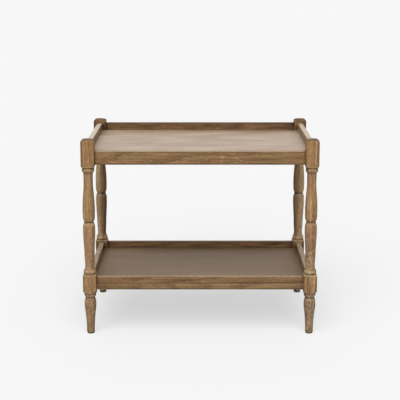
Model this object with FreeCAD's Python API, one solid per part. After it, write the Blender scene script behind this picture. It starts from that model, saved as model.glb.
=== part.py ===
import FreeCAD, Part
import math
import os

# Two-tier tray table on four turned legs. Millimetres, +Z up, the origin on the floor under the middle of the table,
# X along the front, the front towards -Y.

# Overall sizes
table_width = 800.0
table_depth = 500.0
leg_stock = 45.0

# Heights, stacked from the floor up
glide_thickness = 3.0
shelf_clearance = 158.0
board_thickness = 22.0
lip_seat = 1.0
lip_height = 24.0
tier_space = 391.0
front_rail_height = 45.0
gallery_rise = 27.0
post_rise = 16.5

# Rails, lips, panel and cleats
rail_thickness = 18.0
panel_thickness = 18.0
cleat_width = 18.0
cleat_height = 18.0
bar_ease = 1.5
board_ease = 1.2
panel_gap = 0.5
joint_gap = 0.1

# Tenons and dowels; each ends short of the one that enters the leg from the other side
tenon_thickness = 8.0
tenon_shoulder = 4.0
tenon_end_gap = 2.5
dowel_diameter = 8.0

# Leg blocks reach past the rails by these margins before their corners end
foot_block_margin = 1.5
lip_block_margin = 5.6
rail_block_margin = 4.5
block_ease = 4.0
crown_round = 8.5
crown_radius = 45.0

# Turned parts of the leg: a collar is a quirk, a bead, a groove and a sloping shoulder
foot_shoulder_height = 14.0
low_shoulder_height = 3.4
high_shoulder_height = 6.2
groove_height = 1.3
groove_radius = 19.4
quirk_step = 1.0
foot_bead_height = 9.5
low_bead_height = 13.8
high_bead_height = 15.6
foot_bead_radius = 20.2
bead_radius = 21.4
belly_radius = 20.7
waist_radius = 15.5
foot_bulb_radius = 20.2
foot_toe_radius = 13.2
foot_toe_round = 1.5

# Screws, glides and nails
screw_head_radius = 3.6
screw_head_height = 2.4
screw_shank_radius = 1.75
screw_tip_height = 4.0
glide_radius = 12.0
glide_bevel = 1.0
nail_head_radius = 4.0
nail_head_height = 1.2
nail_shank_radius = 1.2
nail_length = 16.0

# Room that cutting tools run past the faces they cut
overrun = 1.0

# The bottom of the shaft's middle groove, where its two halves meet: share of the swell from waist to belly
shaft_groove_share = 0.06
# Half shafts, from the middle groove out to the bead: share of the length, share of the swell from waist to belly
high_shaft_shares = ((0.0, shaft_groove_share), (0.05, 0.69), (0.17, 0.98), (0.42, 0.87), (0.60, 0.41), (0.72, 0.10),
                     (0.87, 0.07), (1.0, 0.16))
low_shaft_shares = ((0.0, shaft_groove_share), (0.05, 0.70), (0.17, 0.99), (0.40, 0.76), (0.59, 0.43), (0.74, 0.31),
                    (0.85, 0.08), (0.92, 0.03), (1.0, 0.50))
# Foot, from the toe up to its neck: share of its height, share of the swell from toe to bulb
foot_shares = ((0.0, 0.0), (0.25, 0.14), (0.45, 0.37), (0.65, 0.80), (0.77, 1.0), (0.91, 0.79), (0.96, 0.52),
               (1.0, 0.38))
# The middle groove of the shaft: share of its length from the lower neck
shaft_split_share = 0.495
# The top of a bead: share of its height from the groove
bead_top_share = 0.34
# Screws along a piece: shares of its length from its middle
long_rail_screw_shares = (-0.44, -0.15, 0.15, 0.44)
long_panel_screw_shares = (-0.30, 0.0, 0.30)
short_rail_screw_shares = (-0.36, 0.36)
short_panel_screw_shares = (-0.18, 0.18)
long_lip_screw_shares = (-0.45, -0.15, 0.15, 0.45)
short_lip_screw_shares = (-0.40, 0.0, 0.40)
# Part of the second piece's thickness that a screw bites into
screw_bite_share = 0.6

# Levels above the floor
shelf_bottom = shelf_clearance
shelf_top = shelf_bottom + board_thickness
seat_level = shelf_top - lip_seat
lip_top = seat_level + lip_height
tray_bottom = lip_top + tier_space
tray_top = tray_bottom + front_rail_height
gallery_top = tray_top + gallery_rise
leg_top = gallery_top + post_rise
panel_bottom = tray_top - panel_thickness
cleat_bottom = panel_bottom - cleat_height

# Leg places, and the faces that the rails meet
leg_x = (table_width - leg_stock) / 2
leg_y = (table_depth - leg_stock) / 2
face_x = leg_x - leg_stock / 2
face_y = leg_y - leg_stock / 2
inner_x = leg_x - rail_thickness / 2
inner_y = leg_y - rail_thickness / 2
outer_x = leg_x + rail_thickness / 2
outer_y = leg_y + rail_thickness / 2
tenon_length = leg_stock / 2 - tenon_thickness / 2 - tenon_end_gap
dowel_reach = leg_stock / 2 - dowel_diameter / 2 - tenon_end_gap

# Heights of the leg's turned stretches
uncut_radius = leg_stock / math.sqrt(2) + overrun
low_block_bottom = shelf_bottom - foot_block_margin
low_block_top = lip_top + lip_block_margin
high_block_bottom = tray_bottom - rail_block_margin
foot_neck = low_block_bottom - foot_shoulder_height - groove_height - foot_bead_height
low_neck = low_block_top + low_shoulder_height + groove_height + low_bead_height
high_neck = high_block_bottom - high_shoulder_height - groove_height - high_bead_height
shaft_middle = low_neck + (high_neck - low_neck) * shaft_split_share

up = FreeCAD.Vector(0, 0, 1)
origin = FreeCAD.Vector(0, 0, 0)
leg_corners = (("front_left", -1, -1), ("front_right", 1, -1), ("back_left", -1, 1), ("back_right", 1, 1))


def line(start, end):
    return Part.LineSegment(start, end).toShape()


def arc(start, middle, end):
    return Part.Arc(start, middle, end).toShape()


def smooth(points):
    curve = Part.BSplineCurve()
    curve.interpolate(points)
    return curve.toShape()


def face_of(edges):
    return Part.Face(Part.Wire(Part.__sortEdges__(edges)))


def box(low, high):
    size = high - low
    return Part.makeBox(size.x, size.y, size.z, low)


def eased_rectangle(width, height, ease):
    # A rectangle in the YZ plane, centred on Y, standing on Z = 0, with its four corners rounded.
    half = width / 2
    bend = ease * (1 - math.sqrt(0.5))

    def at(y, z):
        return FreeCAD.Vector(0, y, z)

    edges = [
        line(at(ease - half, 0), at(half - ease, 0)),
        arc(at(half - ease, 0), at(half - bend, bend), at(half, ease)),
        line(at(half, ease), at(half, height - ease)),
        arc(at(half, height - ease), at(half - bend, height - bend), at(half - ease, height)),
        line(at(half - ease, height), at(ease - half, height)),
        arc(at(ease - half, height), at(bend - half, height - bend), at(-half, height - ease)),
        line(at(-half, height - ease), at(-half, ease)),
        arc(at(-half, ease), at(bend - half, bend), at(ease - half, 0)),
    ]
    return face_of(edges)


def eased_bar(length, width, height, ease):
    # A bar along X, centred on X and Y, standing on Z = 0.
    section = eased_rectangle(width, height, ease)
    section.translate(FreeCAD.Vector(-length / 2, 0, 0))
    return section.extrude(FreeCAD.Vector(length, 0, 0))


def collar_edges(at, neck, bead_out, bead_height, shoulder_height):
    # Outline from a neck out to the uncut stock; at places a radius and a distance from the neck's end.
    bead_start = neck + quirk_step
    bead_top = bead_height * (1 - bead_top_share)
    groove_end = bead_height + groove_height
    return [
        line(at(neck, 0), at(bead_start, 0)),
        arc(at(bead_start, 0), at(bead_out, bead_top), at(groove_radius, bead_height)),
        line(at(groove_radius, bead_height), at(groove_radius, groove_end)),
        line(at(groove_radius, groove_end), at(uncut_radius, groove_end + shoulder_height)),
    ]


def half_shaft_edges(neck_level, shares, bead_height, shoulder_height):
    # Outline from the middle groove to the block beyond the neck at that level.
    side = math.copysign(1, neck_level - shaft_middle)

    def at(radius, offset):
        return FreeCAD.Vector(radius, 0, neck_level + side * offset)

    swell = belly_radius - waist_radius
    run = abs(neck_level - shaft_middle)
    shaft = [(waist_radius + swell * part, run * (along - 1)) for along, part in shares]
    neck = shaft[-1][0]
    return [smooth([at(*spot) for spot in shaft])] + collar_edges(at, neck, bead_radius, bead_height, shoulder_height)


def foot_edges():
    # Outline from the centre of the toe to the underside of the lower block.
    def at(radius, offset):
        return FreeCAD.Vector(radius, 0, foot_neck + offset)

    toe_flat = foot_toe_radius - foot_toe_round
    bend = foot_toe_round * (1 - math.sqrt(0.5))
    floor = glide_thickness - foot_neck
    swell = foot_bulb_radius - foot_toe_radius
    rise = foot_neck - glide_thickness - foot_toe_round
    shin = [(foot_toe_radius + swell * part, rise * (along - 1)) for along, part in foot_shares]
    neck = shin[-1][0]
    return [
        line(at(0, floor), at(toe_flat, floor)),
        arc(at(toe_flat, floor), at(foot_toe_radius - bend, floor + bend), at(*shin[0])),
        smooth([at(*spot) for spot in shin]),
    ] + collar_edges(at, neck, foot_bead_radius, foot_bead_height, foot_shoulder_height)


def turned_solid():
    # Everything that the lathe leaves; where the outline stands at the uncut radius the square stock stays whole.
    def at(radius, height):
        return FreeCAD.Vector(radius, 0, height)

    end = leg_top + overrun
    edges = foot_edges()
    edges += half_shaft_edges(low_neck, low_shaft_shares, low_bead_height, low_shoulder_height)
    edges += half_shaft_edges(high_neck, high_shaft_shares, high_bead_height, high_shoulder_height)
    edges += [
        line(at(uncut_radius, low_block_bottom), at(uncut_radius, low_block_top)),
        line(at(uncut_radius, high_block_bottom), at(uncut_radius, end)),
        line(at(uncut_radius, end), at(0, end)),
        line(at(0, end), at(0, glide_thickness)),
    ]
    return face_of(edges).revolve(origin, up, 360)


def crown_prism():
    # The post's side view as a slab wider than the stock along Y. Its flat sides turn over by a round at each edge,
    # which runs smoothly into one shallow arc across the top.
    def at(x, z):
        return FreeCAD.Vector(x, -leg_stock, z)

    half = leg_stock / 2
    round_x = half - crown_round
    crown_centre = leg_top - crown_radius
    lean = math.asin(round_x / (crown_radius - crown_round))
    round_z = crown_centre + (crown_radius - crown_round) * math.cos(lean)
    meet_x = crown_radius * math.sin(lean)
    meet_z = crown_centre + crown_radius * math.cos(lean)
    halfway = (math.pi / 2 + lean) / 2
    bend_x = round_x + crown_round * math.sin(halfway)
    bend_z = round_z + crown_round * math.cos(halfway)
    edges = [
        line(at(-half, 0), at(half, 0)),
        line(at(half, 0), at(half, round_z)),
        arc(at(half, round_z), at(bend_x, bend_z), at(meet_x, meet_z)),
        arc(at(meet_x, meet_z), at(0, leg_top), at(-meet_x, meet_z)),
        arc(at(-meet_x, meet_z), at(-bend_x, bend_z), at(-half, round_z)),
        line(at(-half, round_z), at(-half, 0)),
    ]
    return face_of(edges).extrude(FreeCAD.Vector(0, leg_stock * 2, 0))


def blank_leg():
    # A leg on the Z axis: square stock with eased corners, domed on top, turned between its two blocks.
    section = eased_rectangle(leg_stock, leg_stock, block_ease)
    section.rotate(origin, FreeCAD.Vector(0, 1, 0), 90)
    section.translate(FreeCAD.Vector(-leg_stock / 2, 0, 0))
    stock = section.extrude(up * leg_top)
    dome = crown_prism()
    stock = stock.common(dome)
    dome.rotate(origin, up, 90)
    return stock.common(dome).common(turned_solid())


def turned_to_side(shape, along_y):
    # Pieces are drawn along X; those on the left and right are turned to run along Y.
    if along_y:
        shape.rotate(origin, up, 90)
    return shape


def tenon(length, height, gap):
    # Stub tenons past both ends of a bar along X that is as high as height; gap widens them into mortises.
    half = tenon_thickness / 2 + gap
    low = tenon_shoulder - gap
    reach = length / 2 + tenon_length + gap
    return box(FreeCAD.Vector(-reach, -half, low), FreeCAD.Vector(reach, half, height - low))


def bar_row(name, along_y, side, bottom, height):
    # A rail or lip, between two legs, as the values that its piece and its mortises share.
    length = 2 * (face_y if along_y else face_x)
    offset = side * (leg_x if along_y else leg_y)
    place = FreeCAD.Vector(offset, 0, bottom) if along_y else FreeCAD.Vector(0, offset, bottom)
    return {"name": name, "along_y": along_y, "length": length, "height": height, "place": place}


side_height = gallery_top - tray_bottom
bars = [
    bar_row("top_front_rail", False, -1, tray_bottom, front_rail_height),
    bar_row("top_back_rail", False, 1, tray_bottom, side_height),
    bar_row("top_left_rail", True, -1, tray_bottom, side_height),
    bar_row("top_right_rail", True, 1, tray_bottom, side_height),
    bar_row("shelf_front_lip", False, -1, seat_level, lip_height),
    bar_row("shelf_back_lip", False, 1, seat_level, lip_height),
    bar_row("shelf_left_lip", True, -1, seat_level, lip_height),
    bar_row("shelf_right_lip", True, 1, seat_level, lip_height),
]


def bar_piece(row):
    bar = eased_bar(row["length"], rail_thickness, row["height"], bar_ease)
    bar = bar.fuse(tenon(row["length"], row["height"], 0)).removeSplitter()
    turned_to_side(bar, row["along_y"])
    bar.translate(row["place"])
    return bar


def mortise_tool(row):
    tool = tenon(row["length"], row["height"], joint_gap)
    turned_to_side(tool, row["along_y"])
    tool.translate(row["place"])
    return tool


def notched_board(half_x, half_y, notch_x, notch_y, bottom, thickness):
    # A board with its four corners cut out square, as two crossing slabs.
    top = bottom + thickness
    wide = box(FreeCAD.Vector(-half_x, -notch_y, bottom), FreeCAD.Vector(half_x, notch_y, top))
    deep = box(FreeCAD.Vector(-notch_x, -half_y, bottom), FreeCAD.Vector(notch_x, half_y, top))
    return wide.fuse(deep).removeSplitter()


def long_edges(shape, half_x, half_y, levels):
    # The edges that run along a board's four outer sides at the given levels.
    found = []
    for edge in shape.Edges:
        middle = edge.CenterOfMass
        on_side = math.isclose(abs(middle.x), half_x) or math.isclose(abs(middle.y), half_y)
        if on_side and any(math.isclose(middle.z, level) for level in levels):
            found.append(edge)
    return found


def shelf_blank():
    # The board, and its field, which stands up a little between the lips.
    notch_x = face_x - joint_gap
    notch_y = face_y - joint_gap
    board = notched_board(outer_x, outer_y, notch_x, notch_y, shelf_bottom, board_thickness - lip_seat)
    board = board.makeFillet(board_ease, long_edges(board, outer_x, outer_y, (shelf_bottom, seat_level)))
    field = notched_board(inner_x - joint_gap, inner_y - joint_gap, notch_x, notch_y, shelf_bottom, board_thickness)
    return board.fuse(field).removeSplitter()


def panel_blank():
    half_x = inner_x - panel_gap
    half_y = inner_y - panel_gap
    notch_x = face_x - panel_gap
    notch_y = face_y - panel_gap
    return notched_board(half_x, half_y, notch_x, notch_y, panel_bottom, panel_thickness)


def cleat_blank(along_y, side):
    # The front and back cleats run from leg to leg, and the side ones between them.
    if along_y:
        length = 2 * (inner_y - cleat_width - panel_gap)
        offset = side * (inner_x - cleat_width / 2)
    else:
        length = 2 * (face_x - panel_gap)
        offset = side * (inner_y - cleat_width / 2)
    half = length / 2
    low = FreeCAD.Vector(-half, -cleat_width / 2, cleat_bottom)
    cleat = box(low, FreeCAD.Vector(half, cleat_width / 2, panel_bottom))
    turned_to_side(cleat, along_y)
    cleat.translate(FreeCAD.Vector(offset, 0, 0) if along_y else FreeCAD.Vector(0, offset, 0))
    return cleat


def screw(length, head_at, direction, gap):
    # A countersunk screw with its flat head at head_at; gap widens it into its hole.
    head = screw_head_radius + gap
    shank = screw_shank_radius + gap
    tip = length + gap
    outline = [(0, 0), (head, 0), (shank, screw_head_height), (shank, tip - screw_tip_height), (0, tip)]
    points = [FreeCAD.Vector(radius, 0, height) for radius, height in outline]
    solid = Part.Face(Part.makePolygon(points + points[:1])).revolve(origin, up, 360)
    solid.Placement = FreeCAD.Placement(head_at, FreeCAD.Rotation(up, direction))
    return solid


def screw_places():
    # Three groups of screws: length, place of the head and direction of each.
    rail_length = cleat_width + rail_thickness * screw_bite_share
    panel_length = cleat_height + panel_thickness * screw_bite_share
    lip_length = board_thickness + lip_height * screw_bite_share
    cleat_middle = cleat_bottom + cleat_height / 2
    rail_rows, panel_rows, lip_rows = [], [], []
    for side in (-1, 1):
        out_y = FreeCAD.Vector(0, side, 0)
        out_x = FreeCAD.Vector(side, 0, 0)
        long_run = 2 * face_x
        short_run = 2 * (inner_y - cleat_width)
        head_y = side * (inner_y - cleat_width)
        head_x = side * (inner_x - cleat_width)
        middle_y = side * (inner_y - cleat_width / 2)
        middle_x = side * (inner_x - cleat_width / 2)
        for share in long_rail_screw_shares:
            rail_rows.append((rail_length, FreeCAD.Vector(long_run * share, head_y, cleat_middle), out_y))
        for share in short_rail_screw_shares:
            rail_rows.append((rail_length, FreeCAD.Vector(head_x, short_run * share, cleat_middle), out_x))
        for share in long_panel_screw_shares:
            panel_rows.append((panel_length, FreeCAD.Vector(long_run * share, middle_y, cleat_bottom), up))
        for share in short_panel_screw_shares:
            panel_rows.append((panel_length, FreeCAD.Vector(middle_x, short_run * share, cleat_bottom), up))
        for share in long_lip_screw_shares:
            lip_rows.append((lip_length, FreeCAD.Vector(2 * face_x * share, side * leg_y, shelf_bottom), up))
        for share in short_lip_screw_shares:
            lip_rows.append((lip_length, FreeCAD.Vector(side * leg_x, 2 * face_y * share, shelf_bottom), up))
    return rail_rows, panel_rows, lip_rows


def screw_group(rows, gap):
    return Part.makeCompound([screw(length, place, direction, gap) for length, place, direction in rows])


def dowel_group(gap):
    # Two dowels at each leg, one along X and one along Y, half in the leg and half in the shelf board.
    radius = dowel_diameter / 2 + gap
    reach = dowel_reach + gap
    middle = shelf_bottom + board_thickness / 2
    dowels = []
    for _, side_x, side_y in leg_corners:
        along_x = FreeCAD.Vector(side_x, 0, 0)
        along_y = FreeCAD.Vector(0, side_y, 0)
        start_x = FreeCAD.Vector(side_x * face_x, side_y * leg_y, middle) - along_x * reach
        start_y = FreeCAD.Vector(side_x * leg_x, side_y * face_y, middle) - along_y * reach
        dowels.append(Part.makeCylinder(radius, reach * 2, start_x, along_x))
        dowels.append(Part.makeCylinder(radius, reach * 2, start_y, along_y))
    return Part.makeCompound(dowels)


def nail(place, gap):
    # A glide's nail, head down in the glide; gap widens it into its hole.
    base = place + up * (glide_thickness - nail_head_height - gap)
    head = Part.makeCylinder(nail_head_radius + gap, nail_head_height + gap, base)
    shank = Part.makeCylinder(nail_shank_radius + gap, nail_length + gap, base)
    return head.fuse(shank)


def glide(place):
    # A low disc that narrows to the floor.
    rim = Part.makeCone(glide_radius - glide_bevel, glide_radius, glide_bevel, place)
    disc = Part.makeCylinder(glide_radius, glide_thickness - glide_bevel, place + up * glide_bevel)
    return rim.fuse(disc)


def build():
    # Every piece of the table, by name.
    rail_screws, panel_screws, lip_screws = screw_places()
    rail_holes = screw_group(rail_screws, joint_gap)
    panel_holes = screw_group(panel_screws, joint_gap)
    lip_holes = screw_group(lip_screws, joint_gap)
    dowel_holes = dowel_group(joint_gap)
    mortises = Part.makeCompound([mortise_tool(row) for row in bars])
    pieces = {}
    nails = []
    blank = blank_leg()
    for name, side_x, side_y in leg_corners:
        place = FreeCAD.Vector(side_x * leg_x, side_y * leg_y, 0)
        leg = blank.copy()
        leg.translate(place)
        leg = leg.cut(mortises).cut(dowel_holes).cut(nail(place, joint_gap))
        pieces["leg_" + name] = leg
        pieces["glide_" + name] = glide(place).cut(nail(place, joint_gap))
        nails.append(nail(place, 0))
    pieces["glide_nails"] = Part.makeCompound(nails)
    for row in bars:
        holes = rail_holes if row["name"].startswith("top") else lip_holes
        pieces[row["name"]] = bar_piece(row).cut(holes)
    pieces["top_panel"] = panel_blank().cut(panel_holes)
    for name, along_y, side in (("front", False, -1), ("back", False, 1), ("left", True, -1), ("right", True, 1)):
        cleat = cleat_blank(along_y, side)
        pieces["tray_" + name + "_cleat"] = cleat.cut(rail_holes).cut(panel_holes)
    pieces["cleat_rail_screws"] = screw_group(rail_screws, 0)
    pieces["cleat_panel_screws"] = screw_group(panel_screws, 0)
    pieces["shelf_board"] = shelf_blank().cut(lip_holes).cut(dowel_holes)
    pieces["shelf_lip_screws"] = screw_group(lip_screws, 0)
    pieces["shelf_dowels"] = dowel_group(0)
    return pieces


os.makedirs("parts", exist_ok=True)
for piece_name, shape in build().items():
    solids = shape.Solids
    print(piece_name, "solids", len(solids), "valid", shape.isValid(), "volume", round(shape.Volume))
    shape = solids[0] if len(solids) == 1 else Part.makeCompound(solids)
    shape.exportStep("parts/" + piece_name + ".step")
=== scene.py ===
import math

import bpy
import numpy as np
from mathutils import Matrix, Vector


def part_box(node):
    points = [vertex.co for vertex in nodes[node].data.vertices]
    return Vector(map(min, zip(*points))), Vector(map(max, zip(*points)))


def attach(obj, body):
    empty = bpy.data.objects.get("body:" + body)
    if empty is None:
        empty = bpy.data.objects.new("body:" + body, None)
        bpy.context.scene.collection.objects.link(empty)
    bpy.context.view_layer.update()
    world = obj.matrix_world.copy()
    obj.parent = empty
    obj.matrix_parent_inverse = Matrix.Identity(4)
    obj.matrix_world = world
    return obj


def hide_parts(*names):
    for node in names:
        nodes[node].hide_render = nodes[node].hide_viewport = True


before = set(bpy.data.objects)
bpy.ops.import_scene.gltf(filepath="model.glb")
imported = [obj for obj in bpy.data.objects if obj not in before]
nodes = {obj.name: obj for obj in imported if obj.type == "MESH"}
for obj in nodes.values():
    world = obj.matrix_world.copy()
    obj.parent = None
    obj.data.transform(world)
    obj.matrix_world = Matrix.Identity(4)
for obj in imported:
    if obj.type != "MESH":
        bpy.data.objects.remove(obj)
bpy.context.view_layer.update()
mm = 0.001
print("frame:", len(nodes), "nodes")


class Wire:
    # A socket of a material: 1 - mask * 2 adds the Math nodes that it needs.
    def __init__(self, tree, socket=None):
        self.tree = tree
        self.socket = socket

    def node(self, kind, settings=None, sockets=None, out=0):
        # any node, from its type, its settings and the values or links of its sockets
        made = self.tree.nodes.new(kind)
        for name, value in (settings or {}).items():
            if name == "stops":
                for spot, (position, colour) in enumerate(value):
                    ramp = made.color_ramp.elements
                    stop = ramp[spot] if spot < len(ramp) else ramp.new(position)
                    stop.position = position
                    stop.color = colour
            else:
                setattr(made, name, value)
        for name, value in (sockets or {}).items():
            if isinstance(value, Wire):
                self.tree.links.new(value.socket, made.inputs[name])
            else:
                made.inputs[name].default_value = value
        return Wire(self.tree, made.outputs[out] if made.outputs else None)

    def other(self, out):
        # another output of the same node
        return Wire(self.tree, self.socket.node.outputs[out])

    def maths(self, operation, first, second=0.0):
        return self.node("ShaderNodeMath", {"operation": operation}, {0: first, 1: second})

    def __add__(self, other):
        return self.maths("ADD", self, other)

    def __radd__(self, other):
        return self.maths("ADD", other, self)

    def __sub__(self, other):
        return self.maths("SUBTRACT", self, other)

    def __rsub__(self, other):
        return self.maths("SUBTRACT", other, self)

    def __mul__(self, other):
        return self.maths("MULTIPLY", self, other)

    def __rmul__(self, other):
        return self.maths("MULTIPLY", other, self)

    def __truediv__(self, other):
        return self.maths("DIVIDE", self, other)

    def __pow__(self, other):
        return self.maths("POWER", self, other)

    def step(self, low, high):
        # 0 below low, 1 above high, smooth between
        settings = {"interpolation_type": "SMOOTHSTEP"}
        return self.node("ShaderNodeMapRange", settings, {0: self, 1: low, 2: high, 3: 0.0, 4: 1.0})

    def tint(self, first, second):
        # colour first where this is 0, colour second where it is 1
        settings = {"data_type": "RGBA", "clamp_factor": True}
        return self.node("ShaderNodeMix", settings, {0: self, 6: first, 7: second}, out=2)


def newMaterial(name):
    material = bpy.data.materials.new(name)
    material.use_nodes = True
    material.node_tree.nodes.clear()
    return material, Wire(material.node_tree)


def shadeWith(pen, sockets):
    shader = pen.node("ShaderNodeBsdfPrincipled", {}, sockets)
    pen.node("ShaderNodeOutputMaterial", {}, {"Surface": shader})


def srgb(red, green, blue):
    # a colour as a screen shows it, 0 to 255, in linear light
    share = np.array([red, green, blue]) / 255
    light = np.where(share <= 0.04045, share / 12.92, ((share + 0.055) / 1.055) ** 2.4)
    return tuple(light.tolist()) + (1.0,)


# Oak finish

oakFinish = {
    "stops": [(0.0, srgb(44, 29, 16)), (0.25, srgb(92, 67, 42)), (0.50, srgb(134, 102, 66)),
              (0.75, srgb(168, 134, 94)), (1.0, srgb(204, 174, 132))],
    "tone": 0.50,
    # growth rings about the heart of the tree, which drifts to the side by lean per metre
    "lean": 0.01,
    "wanderDepth": 20 * mm,
    "ringWidth": 5.0 * mm,
    "lateWoodRise": (0.35, 0.90),
    "lateWoodFall": (0.92, 1.0),
    "ringMean": 0.3,
    "ringDepth": 0.14,
    # each noise: waves per metre along and across the grain, then detail
    "wander": (2.2, 16.0, 2.0),
    "streaks": (7.0, 260.0, 3.0),
    "blotches": (6.0, 30.0, 2.0),
    "bands": (3.0, 85.0, 2.0),
    "flecks": (42.0, 170.0, 2.0),
    "fleckFields": (5.0, 22.0, 1.0),
    "specks": (85.0, 200.0, 2.0),
    "pores": (60.0, 1500.0, 1.0),
    "checks": (10.0, 210.0, 1.0),
    "mottle": (11.0, 48.0, 2.0),
    "noiseRoughness": 0.55,
    "seedShift": 3.7,
    "fleckSlant": 0.22,
    # where a noise starts to mark the wood, and where it does so fully
    "fleckStep": (0.06, 0.20),
    "fieldStep": (-0.20, 0.12),
    "poreStep": (0.10, 0.22),
    "checkStep": (0.03, 0.11),
    "mottleStep": (0.0, 0.22),
    "speckStep": (0.02, 0.12),
    # how far it lightens or darkens the wood
    "streakDepth": 0.65,
    "blotchDepth": 0.40,
    "bandDepth": 0.0,
    "fleckDepth": 0.16,
    "speckDepth": 0.30,
    "poreDepth": 0.12,
    "checkDepth": 0.0,
    "checkTone": 0.5,
    "mottleDepth": 0.35,
    "redColour": srgb(158, 110, 80),
    "oliveColour": srgb(132, 112, 70),
    # end grain, wear with painted highlights and sheen, and glaze with painted shade: an even part, and how
    # much the noises break it up
    "endColour": srgb(102, 85, 64),
    "endEven": 0.72,
    "endMottle": 2.0,
    "endSpecks": 2.0,
    "wearLightColour": srgb(206, 180, 146),
    "wearLightDepth": 0.5,
    "wearEven": 0.75,
    "wearStreaks": 1.5,
    "wearSpecks": 2.5,
    "glazeShadeColour": srgb(50, 34, 20),
    "glazeShadeDepth": 0.62,
    "glazeEven": 0.75,
    "glazeBlotches": 1.5,
    "glazeSpecks": 2.0,
    # weathering greys the wood, and wears and stains it in specks
    "greyColour": srgb(152, 132, 112),
    "greyDepth": 0.4,
    "greyWear": 0.8,
    "greyGlaze": 0.6,
    # sheen and relief
    "specular": 0.28,
    "roughness": 0.52,
    "roughStreaks": 0.25,
    "roughPores": 0.1,
    "roughEnd": 0.2,
    "wearPolish": 0.05,
    "bump": 0.4,
    "bumpHeight": 0.4 * mm,
    "bumpStreaks": 0.8,
    "bumpRings": 0.25,
    "bumpPores": 0.5,
}


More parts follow.
